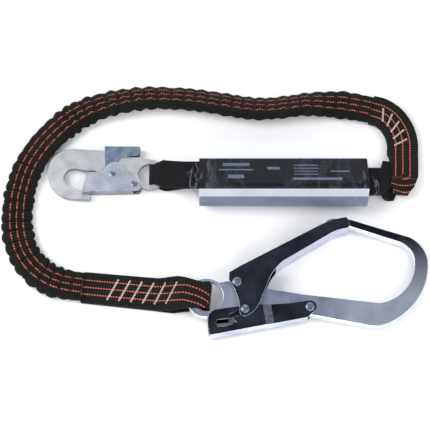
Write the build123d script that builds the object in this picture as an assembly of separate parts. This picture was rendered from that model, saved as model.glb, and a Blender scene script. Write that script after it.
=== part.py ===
from build123d import *
import os
from math import atan2, cos, degrees, hypot, radians, sin, tan

# Shock absorbing lanyard laid out on a flat surface.  Millimetres, +Z up, +X to the right, +Y to the back.
# The origin is on the surface, below the middle of the hooks and the absorber.

os.makedirs("parts", exist_ok=True)

# ---------------------------------------------------------------- driving dimensions
# Places of the assemblies on the surface
SNAP_EYE_Y = 70.2
SNAP_HEADING = 2.9
SCAFFOLD_EYE = (-27.6, -60.5)
SCAFFOLD_HEADING = 8.6
PACK_RIGHT = 131.3
PACK_CENTRE_Y = 56.5

# General clearances
SIDE_GAP = 0.3
PIN_CLEARANCE = 0.05
HEAD_GAP = 0.15
PLY_GAP = 0.4

# Large scaffold hook
SCAFFOLD_BODY = 10.0
SCAFFOLD_SHEET = 2.0
SCAFFOLD_EYE_R = 15.0
SCAFFOLD_RING_R = 19.5
SCAFFOLD_RING_CENTRE = (-1.5, -1.2)
SCAFFOLD_PIVOT = (30.0, 8.6)
SCAFFOLD_PIVOT_BOSS_R = 8.5
SCAFFOLD_LEVER_PIVOT = (95.9, -25.9)
SCAFFOLD_TAIL_PIN = (33.5, -19.7)
SCAFFOLD_RIVET_R = 3.0
SCAFFOLD_RIVET_HEAD_R = SCAFFOLD_RIVET_R + 1.4
SCAFFOLD_HEAD_HEIGHT = 0.85
TAIL_PIN_R = 2.2
TAIL_PIN_HEAD_R = 4.0
LEVER_FLARE = 1.4
LEVER_FLARE_START = 59.0
LEVER_FLARE_END = 51.0
SCAFFOLD_GATE_TRAVEL = 28.0
SCAFFOLD_LEVER_TRAVEL = 4.5
SLOT_CLEARANCE = 0.4

# Small snap hook
SNAP_BODY = 5.0
SNAP_SHEET = 1.2
SNAP_EYE_R = 11.3
SNAP_RING_R = 16.3
SNAP_SEAT_R = 9.9
SNAP_SEAT = (-76.1, 0.3)
SNAP_SEAT_LEAN = 12.5
SNAP_PIVOT = (-15.7, -10.7)
SNAP_PIVOT_BOSS_R = 5.3
SNAP_LEVER_PIVOT = (-37.0, 1.2)
SNAP_RIVET_R = 2.0
SNAP_RIVET_HEAD_R = 3.4
SNAP_HEAD_HEIGHT = 0.6

# Springs
SCAFFOLD_SPRING_WIRE = 1.1
SCAFFOLD_SPRING_TURNS = 3
SNAP_SPRING_WIRE = 0.6
SNAP_SPRING_TURNS = 2
SPRING_PITCH_GAP = 0.05
SPRING_SIDE_GAP = 0.15

# Energy absorber pack
PACK_LENGTH = 168.0
PACK_WIDTH = 42.0
PACK_THICK = 34.0
PACK_ROLL = 20.0
PACK_CORNER_R = 6.0
SLEEVE_WALL = 0.6
COVER_WALL = 1.2
COVER_GAP = 0.2
LABEL_EDGE_Z = 12.5
BAND_EDGE_Z = 1.5
TEAR_STRAP = 2.2
TEAR_PITCH = 2.45
TEAR_LAYERS = 11
TEAR_WIDTH = PACK_WIDTH - 8.0
COLLAR_LENGTH = 12.0
COLLAR_WALL = 0.8
COLLAR_RUN_OUT = 2.5
SNAP_EYE_TO_PACK = 49.5
NECK_WIDTH = 28.0
NECK_DEPTH = 12.0
HARNESS_NECK_Y = 66.4
HARNESS_NECK_Z = 16.0
LANYARD_NECK_Y = 61.8
LANYARD_NECK_Z = 10.0

# Webbing
WEB_THICK = 2.5
LOOP_FLAT_X = 154.0
LOOP_FOLD_X = 177.7
LOOP_BASE_Z = 0.3
SEWN_LOW_Z = 2.0
SEWN_WIDTH = 31.0
HOOK_END_FOLD = 121.5
ABSORBER_END_FOLD = 43.0
LEG_WIDTH = 30.0
LEG_THICK = 11.0
LEG_WALL = 2.5
CORE_WIDTH = 20.0
CORE_THICK = 4.0
LEG_LIFT = 0.3
STITCH_PROUD = 0.4
STITCH_WIDTH = 1.3

BIG = 600.0


# ---------------------------------------------------------------- helpers
def plan_face(*edges):
    """A flat face in plan from edges that run end to end."""
    return make_face(list(edges))


def slab(face, low, high):
    """A plan face given thickness between two heights."""
    return extrude(face, amount=high - low, dir=(0, 0, 1)).moved(Location((0, 0, low)))


def disc(centre, radius, low, high):
    """A round plate at a place in plan."""
    return slab(make_face(Circle(radius).edges()), low, high).moved(Location((centre[0], centre[1], 0)))


def polygon(points):
    """A straight-sided face in plan."""
    return make_face(Polyline(*points, close=True).edges())


def set_down(shape, place, heading):
    """Turn a piece about Z and put its own origin at a place on the surface."""
    return shape.moved(Location((place[0], place[1], 0), (0, 0, heading)))


def turned_point(point, pivot, angle):
    """A plan point turned clockwise about a pivot."""
    dx = point[0] - pivot[0]
    dy = point[1] - pivot[1]
    c = cos(radians(angle))
    s = sin(radians(angle))
    return (pivot[0] + dx * c + dy * s, pivot[1] - dx * s + dy * c)


def ribbon(points, radii, thickness, width):
    """A flat strap that follows a route in the XZ plane, centred on Y = 0."""
    route = FilletPolyline(*[(x, 0, z) for x, z in points], radius=radii)
    outline = Wire(route.edges()).offset_2d(thickness / 2)
    return extrude(Face(outline), amount=width / 2, both=True, dir=(0, 1, 0))


def rivet(centre, radius, head_radius, mid_z, half_grip, head_height, gap):
    """A plain round rivet with a low domed head at each end, clear of the sheet by a gap."""
    low = mid_z - half_grip - gap
    high = mid_z + half_grip + gap
    shank = disc(centre, radius, low, high)
    top = disc(centre, head_radius, high, high + head_height)
    bottom = disc(centre, head_radius, low - head_height, low)
    top = chamfer(top.edges().group_by(Axis.Z)[-1], head_height * 0.6)
    bottom = chamfer(bottom.edges().group_by(Axis.Z)[0], head_height * 0.6)
    return shank + top + bottom


def torsion_spring(centre, inner_radius, wire, turns, low):
    """A closed-wound coil around a rivet with one short straight tail at each end."""
    radius = inner_radius + wire / 2
    pitch = wire + SPRING_PITCH_GAP
    coil = Helix(pitch=pitch, height=pitch * turns, radius=radius)
    start = coil.edges()[0]
    section = Plane(origin=start @ 0, z_dir=start % 0) * Circle(wire / 2)
    body = sweep(section, path=coil, is_frenet=True)
    return body.moved(Location((centre[0], centre[1], low + wire / 2)))


# ---------------------------------------------------------------- scaffold hook
LEVER_INNER = SCAFFOLD_BODY / 2 + SIDE_GAP
LEVER_OUTER = LEVER_INNER + SCAFFOLD_SHEET
GATE_INNER = LEVER_OUTER + LEVER_FLARE + SIDE_GAP
GATE_OUTER = GATE_INNER + SCAFFOLD_SHEET
# The hook rests on its rivets' heads
SCAFFOLD_MID_Z = GATE_OUTER + HEAD_GAP + SCAFFOLD_HEAD_HEIGHT
SCAFFOLD_LOW = SCAFFOLD_MID_Z - SCAFFOLD_BODY / 2
SCAFFOLD_HIGH = SCAFFOLD_MID_Z + SCAFFOLD_BODY / 2


def scaffold_frame():
    """Forged C-shaped frame with the webbing eye, both pivots and the nose that the gate closes on."""
    lower_run = Polyline((10, -14.5), (40, -14.8), (52, -22), (75, -29.2), (95, -33.2), (147, -51.8))
    heel = ThreePointArc((147, -51.8), (155.5, -54), (164, -53.8))
    outer_bend = ThreePointArc((164, -53.8), (198.8, -35), (217.8, 3))
    outer_crown = ThreePointArc((217.8, 3), (215, 18.3), (205, 30.5))
    upper_run = Polyline((205, 30.5), (150.5, 57.5), (136, 60.6), (131.5, 60.7))
    nose = ThreePointArc((131.5, 60.7), (125.4, 54.6), (131.5, 48.5))
    inner_top = Polyline((131.5, 48.5), (148.8, 50.2), (193.5, 27))
    inner_crown = ThreePointArc((193.5, 27), (201.8, 19.5), (204.6, 6))
    inner_bend = ThreePointArc((204.6, 6), (190, -21.8), (163, -31.2))
    throat = Polyline((163, -31.2), (90, -11.2), (66, -3), (57.8, 0), (46, 7), (22.5, 12.5), (12.6, 12.2))
    back = Line((12.6, 12.2), (10, -14.5))
    outline = plan_face(
        lower_run, heel, outer_bend, outer_crown, upper_run, nose,
        inner_top, inner_crown, inner_bend, throat, back,
    )
    body = slab(outline, SCAFFOLD_LOW, SCAFFOLD_HIGH)
    body += disc(SCAFFOLD_RING_CENTRE, SCAFFOLD_RING_R, SCAFFOLD_LOW, SCAFFOLD_HIGH)
    body += disc(SCAFFOLD_PIVOT, SCAFFOLD_PIVOT_BOSS_R, SCAFFOLD_LOW, SCAFFOLD_HIGH)
    body -= disc((0, 0), SCAFFOLD_EYE_R, SCAFFOLD_LOW, SCAFFOLD_HIGH)
    for pivot in (SCAFFOLD_PIVOT, SCAFFOLD_LEVER_PIVOT):
        body -= disc(pivot, SCAFFOLD_RIVET_R, SCAFFOLD_LOW, SCAFFOLD_HIGH)
    return body - lever_spring_pocket()


def spring_coil_outer(rivet_radius, wire):
    """Outside radius of a coil wound around a rivet."""
    return rivet_radius + SPRING_SIDE_GAP + wire


def lever_spring_pocket():
    """Round recess in the frame's upper face for the lever's return spring."""
    depth = SCAFFOLD_SPRING_TURNS * (SCAFFOLD_SPRING_WIRE + SPRING_PITCH_GAP) + SCAFFOLD_SPRING_WIRE + SIDE_GAP
    radius = spring_coil_outer(SCAFFOLD_RIVET_R, SCAFFOLD_SPRING_WIRE) + SPRING_SIDE_GAP
    return disc(SCAFFOLD_LEVER_PIVOT, radius, SCAFFOLD_HIGH - depth, SCAFFOLD_HIGH)


def scaffold_gate():
    """Pressed channel that closes the hook: two side plates joined by a wall along the inside of the hook."""
    shoulder = Polyline((22.5, 11.5), (24, 19), (34, 23.3), (116, 52.8))
    top_end = ThreePointArc((116, 52.8), (131, 57), (146.6, 58.3))
    tip = Polyline((146.6, 58.3), (148.4, 54.5), (148.3, 48.6), (145, 46.8))
    low_end = ThreePointArc((145, 46.8), (138, 46.4), (131, 45))
    underside = Line((131, 45), (78, 22.8))
    throat = ThreePointArc((78, 22.8), (68, 15.1), (58, 0.6))
    tail_front = Line((58, 0.6), (48, -16))
    tail_low = ThreePointArc((48, -16), (41.4, -23.2), (32.8, -27))
    tail_tip = ThreePointArc((32.8, -27), (28.9, -25.4), (28.2, -21))
    tail_back = ThreePointArc((28.2, -21), (28.4, -8.8), (22.5, 11.5))
    outline = plan_face(shoulder, top_end, tip, low_end, underside, throat, tail_front, tail_low, tail_tip, tail_back)
    gate = slab(outline, SCAFFOLD_MID_Z - GATE_OUTER, SCAFFOLD_MID_Z + GATE_OUTER)
    wall = SCAFFOLD_SHEET
    hollow = polygon([
        (160, 51.2), (145, 46.8 + wall), (131, 45 + wall * 1.08), (77.2, 22.8 + wall * 0.98), (70, 17.5), (66, 0),
        (60, -60), (0, -60), (0, 90), (160, 90),
    ])
    gate -= slab(hollow, SCAFFOLD_MID_Z - GATE_INNER, SCAFFOLD_MID_Z + GATE_INNER)
    gate -= disc(
        SCAFFOLD_PIVOT, SCAFFOLD_RIVET_R + PIN_CLEARANCE,
        SCAFFOLD_MID_Z - GATE_OUTER, SCAFFOLD_MID_Z + GATE_OUTER,
    )
    return gate - disc(
        SCAFFOLD_TAIL_PIN, TAIL_PIN_R, SCAFFOLD_MID_Z - GATE_OUTER, SCAFFOLD_MID_Z + GATE_OUTER,
    )


def flared_band(half_height):
    """Everything within a height of the hook's mid plane, higher on the left of the flare."""
    right_z = half_height
    left_z = half_height + LEVER_FLARE
    profile = Polyline(
        (-40, 0, SCAFFOLD_MID_Z - left_z),
        (LEVER_FLARE_END, 0, SCAFFOLD_MID_Z - left_z),
        (LEVER_FLARE_START, 0, SCAFFOLD_MID_Z - right_z),
        (160, 0, SCAFFOLD_MID_Z - right_z),
        (160, 0, SCAFFOLD_MID_Z + right_z),
        (LEVER_FLARE_START, 0, SCAFFOLD_MID_Z + right_z),
        (LEVER_FLARE_END, 0, SCAFFOLD_MID_Z + left_z),
        (-40, 0, SCAFFOLD_MID_Z + left_z),
        close=True,
    )
    return extrude(make_face(profile.edges()), amount=BIG / 2, both=True, dir=(0, 1, 0))


def lever_slot():
    """Slot in the lever: the opening that shows, and the way the gate's tail pin takes through it."""
    steps = 3
    half = TAIL_PIN_R + SLOT_CLEARANCE
    low = 0
    high = 2 * SCAFFOLD_MID_Z
    slot = slab(polygon([(5.5, -25.6), (20, -26.2), (24, -31.5), (12, -33.6), (5.5, -33.2), (3, -29.5)]), low, high)
    way = []
    for step in range(steps + 1):
        share = step / steps
        pin = turned_point(SCAFFOLD_TAIL_PIN, SCAFFOLD_PIVOT, SCAFFOLD_GATE_TRAVEL * share)
        way.append(turned_point(pin, SCAFFOLD_LEVER_PIVOT, -SCAFFOLD_LEVER_TRAVEL * share))
    swept = Face(Wire(Polyline(*way).edges()).offset_2d(half))
    return slot + slab(swept, low, high)


def scaffold_lever():
    """Pressed channel that locks the gate: its wall is the grip, and it is flared to the left."""
    top = Polyline((5, -15.6), (29, -15.4), (47, -16.6), (72, -19.2), (96, -19.6))
    right_end = ThreePointArc((96, -19.6), (102.2, -24.6), (97.5, -31.6))
    corner = Line((97.5, -31.6), (92, -35.9))
    grip = Line((92, -35.9), (-3, -39.8))
    left_end = ThreePointArc((-3, -39.8), (-4.2, -30.5), (-2.4, -22))
    shoulder = ThreePointArc((-2.4, -22), (0.2, -18), (5, -15.6))
    outline = plan_face(top, right_end, corner, grip, left_end, shoulder)
    lever = slab(outline, 0, 2 * SCAFFOLD_MID_Z) & flared_band(LEVER_OUTER)
    wall = SCAFFOLD_SHEET
    hollow = polygon([(-40, -39.8 + wall - 1.5), (92.1, -35.9 + wall), (93.5, -60), (160, -60), (160, 30), (-40, 30)])
    lever -= slab(hollow, 0, 2 * SCAFFOLD_MID_Z) & flared_band(LEVER_INNER)
    lever -= lever_slot()
    return lever - disc(SCAFFOLD_LEVER_PIVOT, SCAFFOLD_RIVET_R + PIN_CLEARANCE, 0, 2 * SCAFFOLD_MID_Z)


def scaffold_hook_parts():
    """All the pieces of the scaffold hook, set down on the surface."""
    gate_rivet = rivet(
        SCAFFOLD_PIVOT, SCAFFOLD_RIVET_R, SCAFFOLD_RIVET_HEAD_R, SCAFFOLD_MID_Z,
        GATE_OUTER, SCAFFOLD_HEAD_HEIGHT, HEAD_GAP,
    )
    lever_rivet = rivet(
        SCAFFOLD_LEVER_PIVOT, SCAFFOLD_RIVET_R, SCAFFOLD_RIVET_HEAD_R, SCAFFOLD_MID_Z,
        LEVER_OUTER, SCAFFOLD_HEAD_HEIGHT, HEAD_GAP,
    )
    tail_pin = rivet(
        SCAFFOLD_TAIL_PIN, TAIL_PIN_R, TAIL_PIN_HEAD_R, SCAFFOLD_MID_Z, GATE_OUTER, SCAFFOLD_HEAD_HEIGHT, 0,
    )
    coil_inner = SCAFFOLD_RIVET_R + SPRING_SIDE_GAP
    gate_spring = torsion_spring(
        SCAFFOLD_PIVOT, coil_inner, SCAFFOLD_SPRING_WIRE, SCAFFOLD_SPRING_TURNS - 1, SCAFFOLD_HIGH + SPRING_SIDE_GAP,
    )
    pocket_depth = SCAFFOLD_SPRING_TURNS * (SCAFFOLD_SPRING_WIRE + SPRING_PITCH_GAP) + SCAFFOLD_SPRING_WIRE
    lever_spring = torsion_spring(
        SCAFFOLD_LEVER_PIVOT, coil_inner, SCAFFOLD_SPRING_WIRE, SCAFFOLD_SPRING_TURNS,
        SCAFFOLD_HIGH - pocket_depth - SPRING_SIDE_GAP,
    )
    pieces = {
        "scaffold_hook_frame": scaffold_frame(),
        "scaffold_gate": scaffold_gate(),
        "scaffold_lock_lever": scaffold_lever(),
        "scaffold_gate_rivet": gate_rivet,
        "scaffold_lever_rivet": lever_rivet,
        "scaffold_tail_pin": tail_pin,
        "scaffold_gate_spring": gate_spring,
        "scaffold_lever_spring": lever_spring,
    }
    return {name: set_down(piece, SCAFFOLD_EYE, SCAFFOLD_HEADING) for name, piece in pieces.items()}


# ---------------------------------------------------------------- snap hook
PACK_LEFT = PACK_RIGHT - PACK_LENGTH
SNAP_EYE = (PACK_LEFT - SNAP_EYE_TO_PACK, SNAP_EYE_Y)
SNAP_LEVER_INNER = SNAP_BODY / 2 + SIDE_GAP
SNAP_LEVER_OUTER = SNAP_LEVER_INNER + SNAP_SHEET
SNAP_GATE_INNER = SNAP_LEVER_OUTER + SIDE_GAP
SNAP_GATE_OUTER = SNAP_GATE_INNER + SNAP_SHEET
SNAP_LIFT = 0.05
SNAP_MID_Z = SNAP_GATE_OUTER + HEAD_GAP + SNAP_HEAD_HEIGHT + SNAP_LIFT
SNAP_LOW = SNAP_MID_Z - SNAP_BODY / 2
SNAP_HIGH = SNAP_MID_Z + SNAP_BODY / 2


def snap_frame():
    """Flat plate hook with a round seat, a blunt tip and the webbing eye."""
    top = Polyline((0.6, 16.8), (-11.5, 19.6), (-27.5, 20.1), (-31, 27.2), (-44.6, 28.4), (-76, 31.8))
    crown = ThreePointArc((-76, 31.8), (-98.2, 20.6), (-102.2, 5))
    heel = ThreePointArc((-102.2, 5), (-96.2, -12.2), (-81, -22.2))
    tip_run = Line((-81, -22.2), (-61.2, -24.4))
    tip = ThreePointArc((-61.2, -24.4), (-59.2, -21.2), (-60.8, -18.8))
    lead_in = Line((-60.8, -18.8), (-81.2, -8.2))
    seat_far = (SNAP_SEAT[0] - SNAP_SEAT_R, SNAP_SEAT[1])
    seat_top = (
        SNAP_SEAT[0] + SNAP_SEAT_R * sin(radians(SNAP_SEAT_LEAN)),
        SNAP_SEAT[1] + SNAP_SEAT_R * cos(radians(SNAP_SEAT_LEAN)),
    )
    seat_start = (
        SNAP_SEAT[0] - SNAP_SEAT_R * cos(radians(52)),
        SNAP_SEAT[1] - SNAP_SEAT_R * sin(radians(52)),
    )
    into_seat = Line((-81.2, -8.2), seat_start)
    seat = ThreePointArc(seat_start, seat_far, seat_top)
    bar = Polyline(seat_top, (-62, 7.2), (-55, 6.9), (-52, 5.2), (-48, 5), (-43, 11), (-29, 11), (-20, -6), (-12, -12))
    close = Line((-12, -12), (0.6, 16.8))
    outline = plan_face(top, crown, heel, tip_run, tip, lead_in, into_seat, seat, bar, close)
    body = slab(outline, SNAP_LOW, SNAP_HIGH)
    body += disc((0, 0), SNAP_RING_R, SNAP_LOW, SNAP_HIGH)
    body += disc(SNAP_PIVOT, SNAP_PIVOT_BOSS_R, SNAP_LOW, SNAP_HIGH)
    body -= disc((0, 0), SNAP_EYE_R, SNAP_LOW, SNAP_HIGH)
    return body - disc(SNAP_PIVOT, SNAP_RIVET_R, SNAP_LOW, SNAP_HIGH)


def snap_gate():
    """Folded sheet gate around the frame, closed along its front edge, with a tapered blade at its nose."""
    nose = Polyline((-68.2, -17.6), (-62.6, 4.6), (-53, 4.4), (-46, 5.6))
    dome = ThreePointArc((-46, 5.6), (-42.6, 10.6), (-36.5, 14.2))
    brow = ThreePointArc((-36.5, 14.2), (-30.5, 13.4), (-25, 7.4))
    slope = Line((-25, 7.4), (-10.5, -9.6))
    heel = ThreePointArc((-10.5, -9.6), (-8.8, -14.2), (-14.5, -17.8))
    front = Polyline((-14.5, -17.8), (-40.4, -17.2), (-59, -16.4), (-62, -17.2), (-68.2, -17.6))
    outline = plan_face(nose, dome, brow, slope, heel, front)
    gate = slab(outline, SNAP_MID_Z - SNAP_GATE_OUTER, SNAP_MID_Z + SNAP_GATE_OUTER)
    wall = SNAP_SHEET
    hollow = polygon([
        (-17, -30), (-17, -17.7 + wall), (-40.4, -17.2 + wall), (-58, -16.4 + wall), (-58, -40),
        (-90, -40), (-90, 40), (10, 40), (10, -30),
    ])
    gate -= slab(hollow, SNAP_MID_Z - SNAP_GATE_INNER, SNAP_MID_Z + SNAP_GATE_INNER)
    gate -= disc(SNAP_PIVOT, SNAP_RIVET_R + PIN_CLEARANCE, 0, 2 * SNAP_MID_Z)
    return gate - disc(SNAP_LEVER_PIVOT, SNAP_RIVET_R, 0, 2 * SNAP_MID_Z)


def snap_lever():
    """Folded sheet thumb lever, closed along its top edge, that reaches down to its pivot inside the gate."""
    top = Line((-44.2, 32.6), (-8.2, 30.4))
    thumb_end = Line((-8.2, 30.4), (-8.8, 24.6))
    thumb_corner = ThreePointArc((-8.8, 24.6), (-9.8, 22), (-12.2, 20.8))
    under = Line((-12.2, 20.8), (-27.5, 19.8))
    neck = ThreePointArc((-27.5, 19.8), (-30.5, 16.6), (-31.8, 10))
    foot = ThreePointArc((-31.8, 10), (-37, -3.4), (-42.2, 4))
    side = Polyline((-42.2, 4), (-44.4, 12), (-44.2, 32.6))
    outline = plan_face(top, thumb_end, thumb_corner, under, neck, foot, side)
    lever = slab(outline, SNAP_MID_Z - SNAP_LEVER_OUTER, SNAP_MID_Z + SNAP_LEVER_OUTER)
    hollow = polygon([(-60, 33.5 - SNAP_SHEET), (0, 29.9 - SNAP_SHEET), (0, -20), (-60, -20)])
    lever -= slab(hollow, SNAP_MID_Z - SNAP_LEVER_INNER, SNAP_MID_Z + SNAP_LEVER_INNER)
    return lever - disc(SNAP_LEVER_PIVOT, SNAP_RIVET_R + PIN_CLEARANCE, 0, 2 * SNAP_MID_Z)


def snap_hook_parts():
    """All the pieces of the snap hook, set down on the surface."""
    gate_rivet = rivet(
        SNAP_PIVOT, SNAP_RIVET_R, SNAP_RIVET_HEAD_R, SNAP_MID_Z, SNAP_GATE_OUTER, SNAP_HEAD_HEIGHT, HEAD_GAP,
    )
    lever_rivet = rivet(
        SNAP_LEVER_PIVOT, SNAP_RIVET_R, SNAP_RIVET_HEAD_R, SNAP_MID_Z, SNAP_GATE_OUTER, SNAP_HEAD_HEIGHT, 0,
    )
    coil_inner = SNAP_RIVET_R + SPRING_SIDE_GAP
    gate_spring = torsion_spring(
        SNAP_PIVOT, coil_inner, SNAP_SPRING_WIRE, SNAP_SPRING_TURNS - 1, SNAP_HIGH + SPRING_SIDE_GAP,
    )
    half_coil = (SNAP_SPRING_TURNS * (SNAP_SPRING_WIRE + SPRING_PITCH_GAP) + SNAP_SPRING_WIRE) / 2
    lever_spring = torsion_spring(
        SNAP_LEVER_PIVOT, coil_inner, SNAP_SPRING_WIRE, SNAP_SPRING_TURNS, SNAP_MID_Z - half_coil,
    )
    pieces = {
        "snap_hook_frame": snap_frame(),
        "snap_gate": snap_gate(),
        "snap_lock_lever": snap_lever(),
        "snap_gate_rivet": gate_rivet,
        "snap_lever_rivet": lever_rivet,
        "snap_gate_spring": gate_spring,
        "snap_lever_spring": lever_spring,
    }
    return {name: set_down(piece, SNAP_EYE, SNAP_HEADING) for name, piece in pieces.items()}


# ---------------------------------------------------------------- energy absorber pack
PACK_CENTRE_X = (PACK_LEFT + PACK_RIGHT) / 2
PACK_REACH = (
    (PACK_WIDTH / 2 - PACK_CORNER_R) * sin(radians(PACK_ROLL))
    + (PACK_THICK / 2 - PACK_CORNER_R) * cos(radians(PACK_ROLL))
    + PACK_CORNER_R
)
PACK_PLACE = Location((PACK_CENTRE_X, PACK_CENTRE_Y, PACK_REACH), (-PACK_ROLL, 0, 0))
PLY_STEP = WEB_THICK + PLY_GAP
NECK_HEIGHT = PLY_STEP + WEB_THICK + 2 * COVER_GAP
NECK_OPENING = NECK_WIDTH + 2 * COVER_GAP


def pack_block(inset, length):
    """Rounded block in the pack's own frame, smaller than the outside all round by an inset."""
    section = RectangleRounded(PACK_WIDTH - 2 * inset, PACK_THICK - 2 * inset, PACK_CORNER_R - inset)
    return extrude(Plane.YZ * section, amount=length / 2, both=True)


def neck_room():
    """Room for the loops' plies through the two ends of the pack."""
    room = Pos(PACK_LEFT, HARNESS_NECK_Y, HARNESS_NECK_Z) * Box(2 * NECK_DEPTH, NECK_OPENING, NECK_HEIGHT)
    return room + Pos(PACK_RIGHT, LANYARD_NECK_Y, LANYARD_NECK_Z) * Box(2 * NECK_DEPTH, NECK_OPENING, NECK_HEIGHT)


def cover_layer(low, high):
    """The part of the pack's wrapped cover that lies between two heights of the pack."""
    outside = SLEEVE_WALL + COVER_GAP
    length = PACK_LENGTH - 2 * outside
    wall = pack_block(outside, length) - pack_block(outside + COVER_WALL, length)
    wall &= Pos(0, 0, (low + high) / 2) * Box(BIG, BIG, high - low)
    return wall.moved(PACK_PLACE) - neck_room()


def clear_sleeve():
    """Clear film shrunk around the pack, open at the two necks."""
    film = pack_block(0, PACK_LENGTH) - pack_block(SLEEVE_WALL, PACK_LENGTH - 2 * SLEEVE_WALL)
    return film.moved(PACK_PLACE) - neck_room()


def tear_webbing():
    """Long strap folded back and forth, whose rip stitches tear one after another in a fall."""
    run = PACK_LENGTH / 2 - NECK_DEPTH - 1
    low = -TEAR_PITCH * (TEAR_LAYERS - 1) / 2
    points = []
    for layer in range(TEAR_LAYERS):
        ends = (-run, run) if layer % 2 == 0 else (run, -run)
        points += [(x, low + layer * TEAR_PITCH) for x in ends]
    return ribbon(points, TEAR_PITCH * 0.49, TEAR_STRAP, TEAR_WIDTH).moved(PACK_PLACE)


def collar(x, y, z):
    """The film's crimped end around a loop's two plies."""
    inside = RectangleRounded(NECK_OPENING, NECK_HEIGHT, 2 * COVER_GAP)
    outside = RectangleRounded(NECK_OPENING + 2 * COLLAR_WALL, NECK_HEIGHT + 2 * COLLAR_WALL, 2 * COVER_GAP + COLLAR_WALL)
    tube = extrude(Plane.YZ * (outside - inside), amount=COLLAR_LENGTH / 2, both=True)
    return tube.moved(Location((x, y, z)))


def pack_parts():
    """The absorber's own pieces, set down on the surface."""
    half = COLLAR_LENGTH / 2
    return {
        "absorber_label_cover": cover_layer(LABEL_EDGE_Z, PACK_THICK / 2),
        "absorber_edge_binding": cover_layer(BAND_EDGE_Z, LABEL_EDGE_Z),
        "absorber_lower_cover": cover_layer(-PACK_THICK / 2, BAND_EDGE_Z),
        "absorber_tear_webbing": tear_webbing(),
        "absorber_clear_sleeve": clear_sleeve(),
        "harness_end_collar": collar(PACK_LEFT - half, HARNESS_NECK_Y, HARNESS_NECK_Z),
        "lanyard_end_collar": collar(PACK_RIGHT + half, LANYARD_NECK_Y, LANYARD_NECK_Z),
    }


# ---------------------------------------------------------------- the absorber's two webbing loops
HALF_PLY = WEB_THICK / 2
# Middle heights of the four plies where the two loops pass through each other, lowest first
LOOP_PLY_Z = [LOOP_BASE_Z + HALF_PLY + ply * PLY_STEP for ply in range(4)]


def trimmed(strap, outline, low=-BIG, high=BIG):
    """The part of a strap that lies inside a plan outline, and between two heights."""
    return strap & slab(polygon(outline), low, high)


def harness_loop():
    """Webbing loop from the absorber through the snap hook's eye, drawn in at the eye."""
    eye_x, eye_y = SNAP_EYE
    under = SNAP_LOW - PLY_GAP - HALF_PLY
    over = SNAP_HIGH + PLY_GAP + HALF_PLY
    fold = eye_x + 0.8
    flat_end = eye_x + SNAP_RING_R + 1
    neck_end = PACK_LEFT - COLLAR_LENGTH - COLLAR_RUN_OUT
    inside = PACK_LEFT + NECK_DEPTH - 1
    points = [
        (inside, HARNESS_NECK_Z - PLY_STEP / 2), (neck_end, HARNESS_NECK_Z - PLY_STEP / 2),
        (flat_end, under), (fold, under), (fold, over), (flat_end, over),
        (neck_end, HARNESS_NECK_Z + PLY_STEP / 2), (inside, HARNESS_NECK_Z + PLY_STEP / 2),
    ]
    loop = ribbon(points, [6, 6, 2.5, 2.5, 6, 6], WEB_THICK, BIG)
    waist = 10.0
    wide = NECK_WIDTH / 2
    outline = [
        (eye_x - 3, eye_y - waist), (eye_x + 3.5, eye_y - waist), (eye_x + 14, eye_y - 15),
        (neck_end, HARNESS_NECK_Y - wide), (inside, HARNESS_NECK_Y - wide),
        (inside, HARNESS_NECK_Y + wide), (neck_end, HARNESS_NECK_Y + wide),
        (eye_x + 14, eye_y + 15), (eye_x + 3.5, eye_y + waist), (eye_x - 3, eye_y + waist),
    ]
    return trimmed(loop.moved(Location((0, eye_y, 0))), outline)


def lanyard_loop():
    """Webbing loop from the absorber that the elastic leg's eye passes through."""
    neck_end = PACK_RIGHT + COLLAR_LENGTH + COLLAR_RUN_OUT
    inside = PACK_RIGHT - NECK_DEPTH + 1
    points = [
        (inside, LANYARD_NECK_Z - PLY_STEP / 2), (neck_end, LANYARD_NECK_Z - PLY_STEP / 2),
        (LOOP_FLAT_X, LOOP_PLY_Z[0]), (LOOP_FOLD_X, LOOP_PLY_Z[0]),
        (LOOP_FOLD_X, LOOP_PLY_Z[2]), (LOOP_FLAT_X, LOOP_PLY_Z[2]),
        (neck_end, LANYARD_NECK_Z + PLY_STEP / 2), (inside, LANYARD_NECK_Z + PLY_STEP / 2),
    ]
    loop = ribbon(points, [6, 6, 2.5, 2.5, 6, 6], WEB_THICK, BIG)
    loop = loop.moved(Location((0, LANYARD_NECK_Y, 0)))
    low_side = LANYARD_NECK_Y - NECK_WIDTH / 2
    high_side = LANYARD_NECK_Y + NECK_WIDTH / 2
    narrow = [
        (inside, low_side), (neck_end, low_side), (162, 64), (190, 66),
        (190, 76), (160, 77), (155, 83), (149, 83), (neck_end, high_side), (inside, high_side),
    ]
    splayed = [
        (inside, low_side), (neck_end, low_side), (149, 44), (159, 45), (168, 66), (190, 66),
        (190, 86), (162, 88), (149, 86), (neck_end, high_side), (inside, high_side),
    ]
    lower_ply = ribbon(points[:4], [6, 6], WEB_THICK, BIG).moved(Location((0, LANYARD_NECK_Y, 0)))
    return trimmed(loop, narrow) + trimmed(lower_ply, splayed)


def loop_parts():
    """The two black webbing loops."""
    return {"harness_loop": harness_loop(), "lanyard_loop": lanyard_loop()}


# ---------------------------------------------------------------- elastic leg and its sewn ends
# Route of the elastic leg's centre line in plan, from the absorber's end to the scaffold hook's end
LEG_ROUTE = [
    (139.5, 142.6), (122, 146.8), (98, 149.4), (74, 148.4), (50, 144.6), (24, 142.2), (-2, 146.2), (-30, 151.6),
    (-58, 154.6), (-86, 155.6), (-112, 152.6), (-137, 147.2), (-160, 137.2), (-181, 120), (-197, 101),
    (-209.5, 78), (-216, 52), (-217.6, 28), (-216, 8), (-210.5, -11), (-200, -27), (-186, -38.5), (-169, -45.6),
    (-150, -47.5),
]
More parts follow.
